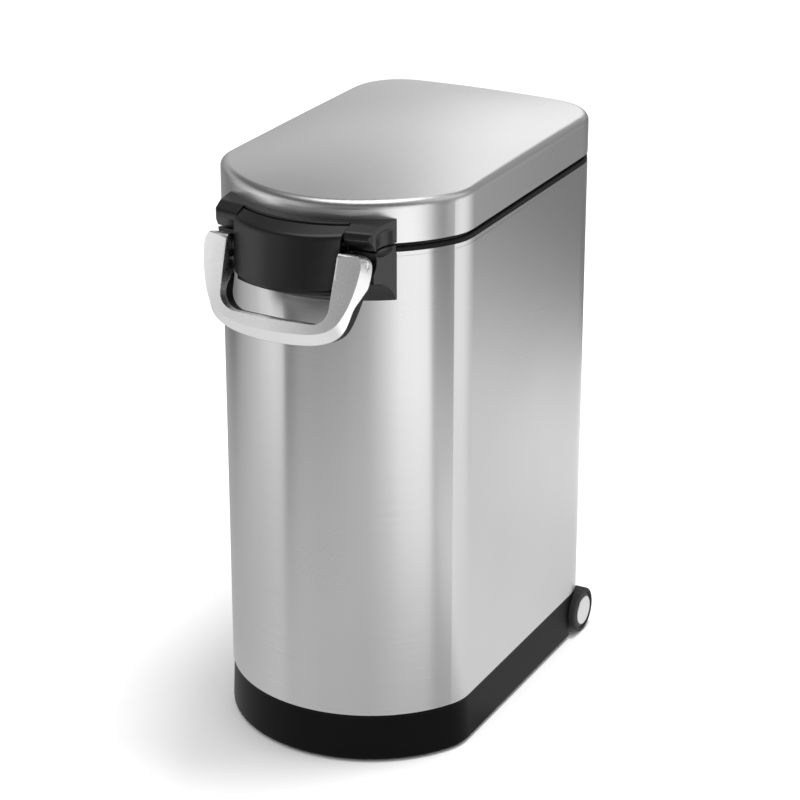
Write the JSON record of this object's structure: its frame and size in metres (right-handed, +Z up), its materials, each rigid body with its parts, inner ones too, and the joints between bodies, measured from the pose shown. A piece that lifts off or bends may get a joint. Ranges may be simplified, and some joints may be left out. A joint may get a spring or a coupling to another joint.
{
  "type": "pet food bin",
  "caption": "Tall brushed-steel food bin with a hinged domed lid, swinging lock handle, plastic base, rear wheels, inner bucket and scoop.",
  "frame": {"origin": "on the floor, at the centre of the object's box in plan", "axes": "+Z up; -Y towards the front, where the handle is; X across the width"},
  "size_m": [0.273, 0.4722, 0.5825],
  "materials": {
    "brushed_steel": "vertical brushed satin",
    "lid_steel": "brushed satin along the lid",
    "zinc_steel": "zinc plated",
    "screw_steel": "zinc plated",
    "base_plastic": "fine moulded texture",
    "bracket_plastic": "satin moulded texture",
    "collar_plastic": "satin",
    "liner_plastic": "satin",
    "bucket_plastic": "satin",
    "scoop_plastic": "satin translucent look",
    "seal_rubber": "soft silicone",
    "foot_rubber": "matte",
    "tyre_rubber": "matte",
    "hub_plastic": "satin",
    "cap_silver": "satin silver",
    "handle_silver": "satin silver",
    "magnet": "nickel plated"
  },
  "bodies": {
    "body": {"steel_shell": "brushed_steel", "floor_plate": "zinc_steel", "base_tray": "base_plastic", "rubber_feet": "foot_rubber", "base_screws": "screw_steel", "wheel_axle": "zinc_steel", "axle_clips": "zinc_steel", "top_collar": "collar_plastic", "inner_bucket": "bucket_plastic", "lock_bracket": "bracket_plastic", "bracket_backplate": "zinc_steel", "bracket_screws": "screw_steel", "handle_pivot_pins": "zinc_steel", "hinge_housing": "bracket_plastic", "hinge_backplate": "zinc_steel", "hinge_screws": "screw_steel", "hinge_pin": "zinc_steel"},
    "lid": {"lid_shell": "lid_steel", "lid_liner": "liner_plastic", "lid_seal": "seal_rubber", "lid_bracket": "bracket_plastic", "lid_bracket_screws": "screw_steel", "lid_hinge_leaf": "bracket_plastic", "leaf_screws": "screw_steel", "scoop_holder": "liner_plastic", "holder_magnet": "magnet"},
    "handle": {"handle_shell": "handle_silver", "handle_grip": "bracket_plastic", "handle_screws": "screw_steel", "latch_link_pins": "zinc_steel"},
    "latch_plate": {"latch_panel": "bracket_plastic"},
    "scoop": {"scoop": "scoop_plastic", "scoop_keeper_disc": "zinc_steel"},
    "wheel_right": {"wheel_right_tyre": "tyre_rubber", "wheel_right_hub": "hub_plastic", "wheel_right_cap": "cap_silver"},
    "wheel_left": {"wheel_left_tyre": "tyre_rubber", "wheel_left_hub": "hub_plastic", "wheel_left_cap": "cap_silver"}
  },
  "joints": [
    {"name": "lid_hinge", "type": "hinge", "parent": "body", "child": "lid", "pos_m": [0, 0.22989, 0.529], "axis": [-1, 0, 0], "range_deg": [0, 100]},
    {"name": "handle_lift", "type": "hinge", "parent": "body", "child": "handle", "pos_m": [0, -0.19811, 0.5263], "axis": [-1, 0, 0], "range_deg": [0, 115]},
    {"name": "latch_tilt", "type": "hinge", "parent": "handle", "child": "latch_plate", "pos_m": [0, -0.19811, 0.5123], "axis": [-1, 0, 0], "range_deg": [-135, 0]},
    {"name": "scoop_release", "type": "slide", "parent": "lid", "child": "scoop", "axis": [0, 0, -1], "range_m": [0, 0.15]},
    {"name": "wheel_right_spin", "type": "hinge", "parent": "body", "child": "wheel_right", "pos_m": [0.126, 0.18469, 0.0245], "axis": [1, 0, 0], "continuous": true},
    {"name": "wheel_left_spin", "type": "hinge", "parent": "body", "child": "wheel_left", "pos_m": [-0.126, 0.18469, 0.0245], "axis": [1, 0, 0], "continuous": true}
  ],
  "couplings": [
    {"joint": "latch_tilt", "follows": "handle_lift", "ratio": -1.15}
  ]
}
